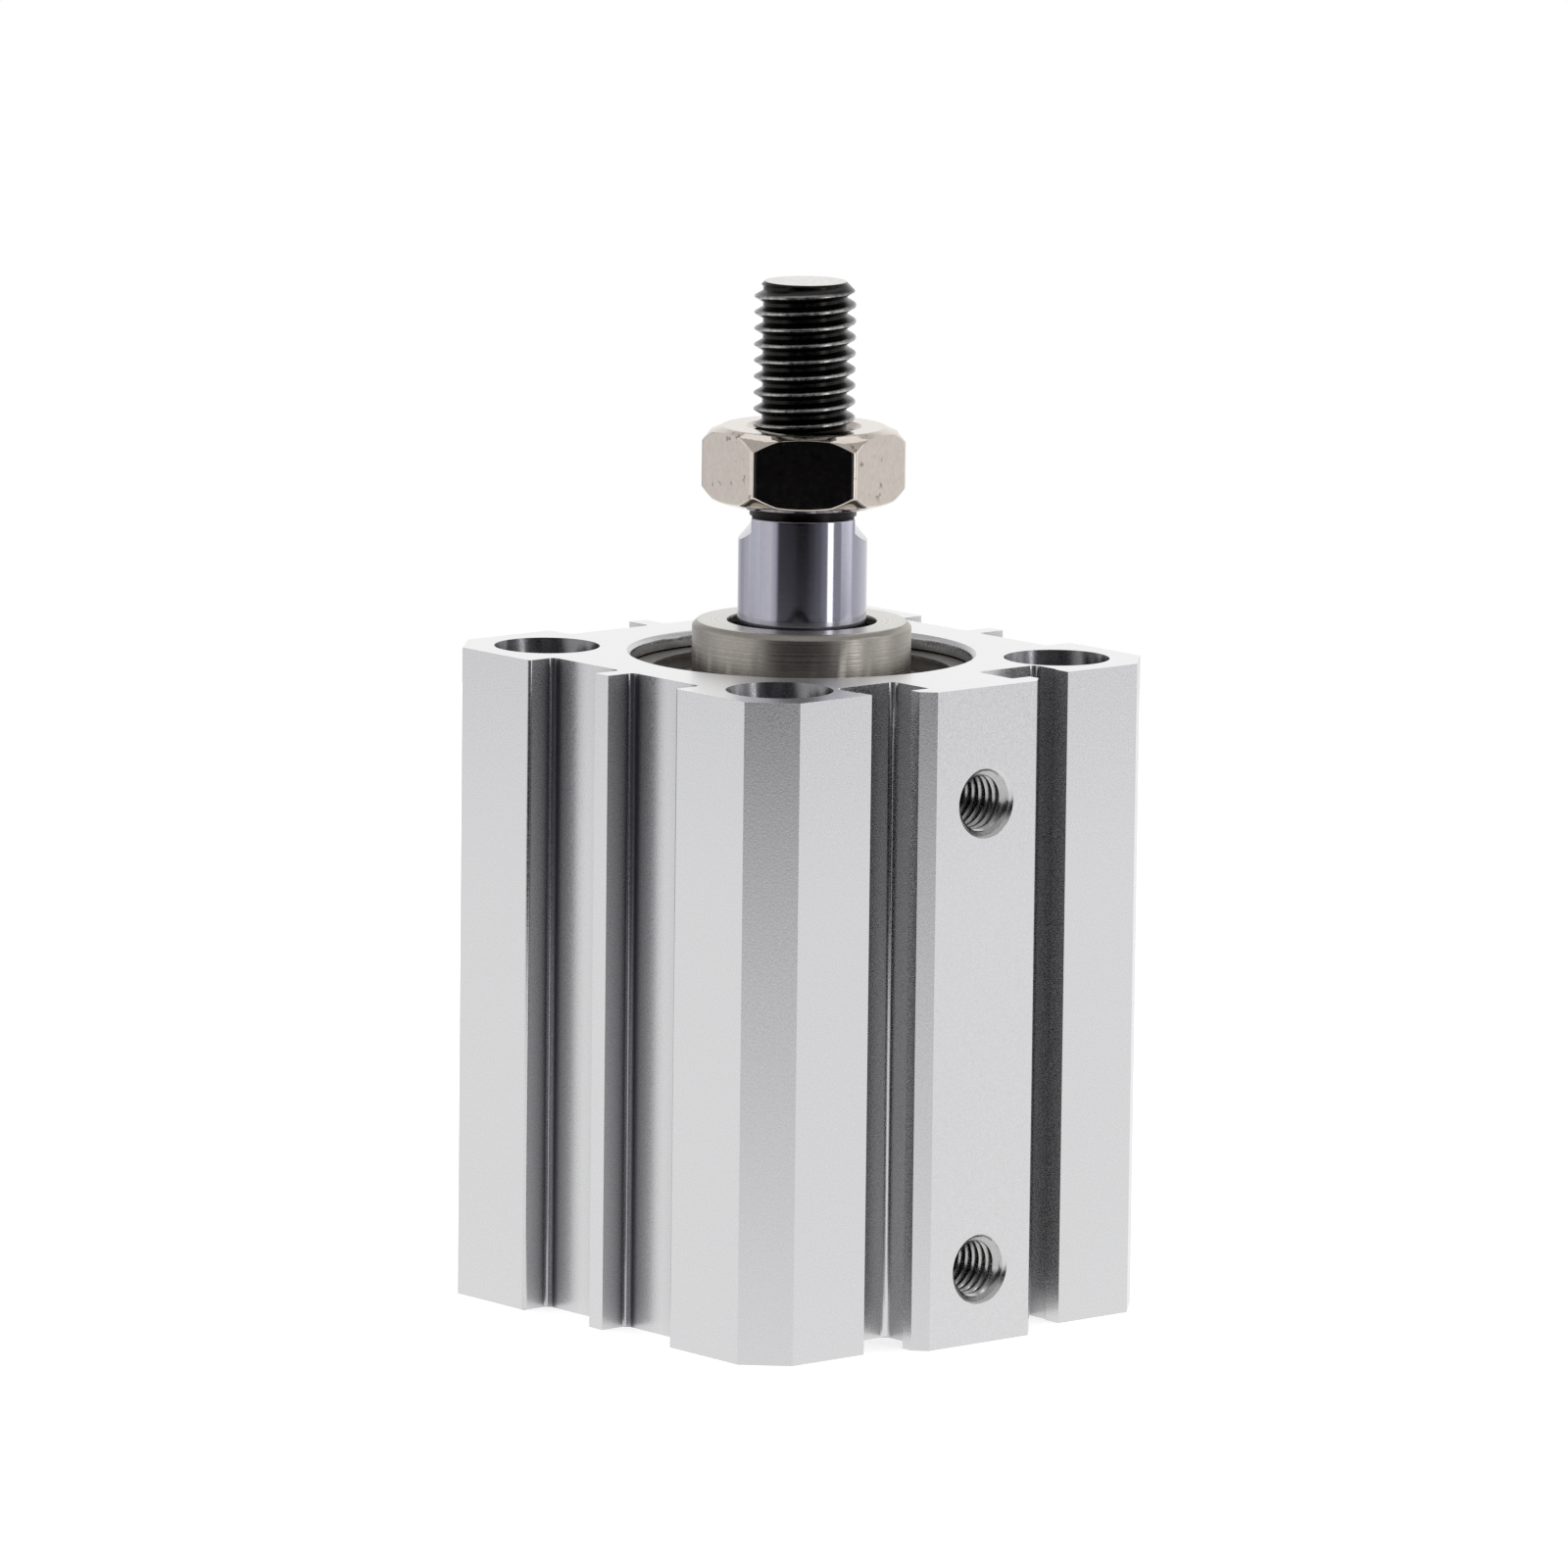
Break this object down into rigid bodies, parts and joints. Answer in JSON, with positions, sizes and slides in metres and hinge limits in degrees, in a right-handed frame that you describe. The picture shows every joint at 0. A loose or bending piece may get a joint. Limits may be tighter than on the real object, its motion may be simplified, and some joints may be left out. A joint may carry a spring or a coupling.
{
  "type": "compact pneumatic cylinder",
  "caption": "Compact double-acting air cylinder: grooved square aluminium barrel, side ports, corner mounting holes and a chromed rod with threaded end and lock nut.",
  "frame": {"origin": "on the rod axis at the rear face of the barrel, which is the centre of the rear bolt pattern", "axes": "+Z along the rod axis, out of the front cover; -Y out of the air ports"},
  "size_m": [0.04, 0.042, 0.0799],
  "materials": {
    "anodised_aluminium": "blasted and clear anodised",
    "turned_aluminium": "turned and clear anodised",
    "chromed_steel": "hard chromed, ground",
    "nickel_plated_steel": "nickel plated",
    "spring_steel": "phosphated",
    "blackened_steel": "black oxide",
    "sintered_bronze": "sintered, oiled",
    "sintered_magnet": "sintered",
    "nitrile_rubber": "moulded",
    "polyurethane": "moulded",
    "wear_ring_plastic": "machined"
  },
  "bodies": {
    "housing": {"barrel": "anodised_aluminium", "front_cover": "turned_aluminium", "rod_bush": "sintered_bronze", "rod_seal": "nitrile_rubber", "front_cover_ring_seal": "nitrile_rubber", "front_circlip": "spring_steel", "front_bumper": "polyurethane", "rear_cover": "turned_aluminium", "rear_cover_ring_seal": "nitrile_rubber", "rear_circlip": "spring_steel", "rear_bumper": "polyurethane"},
    "piston_guides": {"piston_seal": "nitrile_rubber", "wear_ring": "wear_ring_plastic"},
    "rod_and_piston": {"piston_rod": "chromed_steel", "piston_front": "turned_aluminium", "piston_rear": "turned_aluminium", "magnet_ring": "sintered_magnet", "magnet_washer": "nitrile_rubber", "piston_rod_ring_seal": "nitrile_rubber", "piston_screw": "blackened_steel"},
    "nut": {"lock_nut": "nickel_plated_steel"}
  },
  "joints": [
    {"name": "rod_slide", "type": "slide", "parent": "housing", "child": "piston_guides", "axis": [0, 0, 1], "range_m": [0, 0.02]},
    {"name": "rod_turn", "type": "hinge", "parent": "piston_guides", "child": "rod_and_piston", "pos_m": [0, 0, 0.0618], "axis": [0, 0, 1], "continuous": true},
    {"name": "nut_travel", "type": "slide", "parent": "rod_and_piston", "child": "nut", "axis": [0, 0, 1], "range_m": [0, 0.0104]}
  ]
}
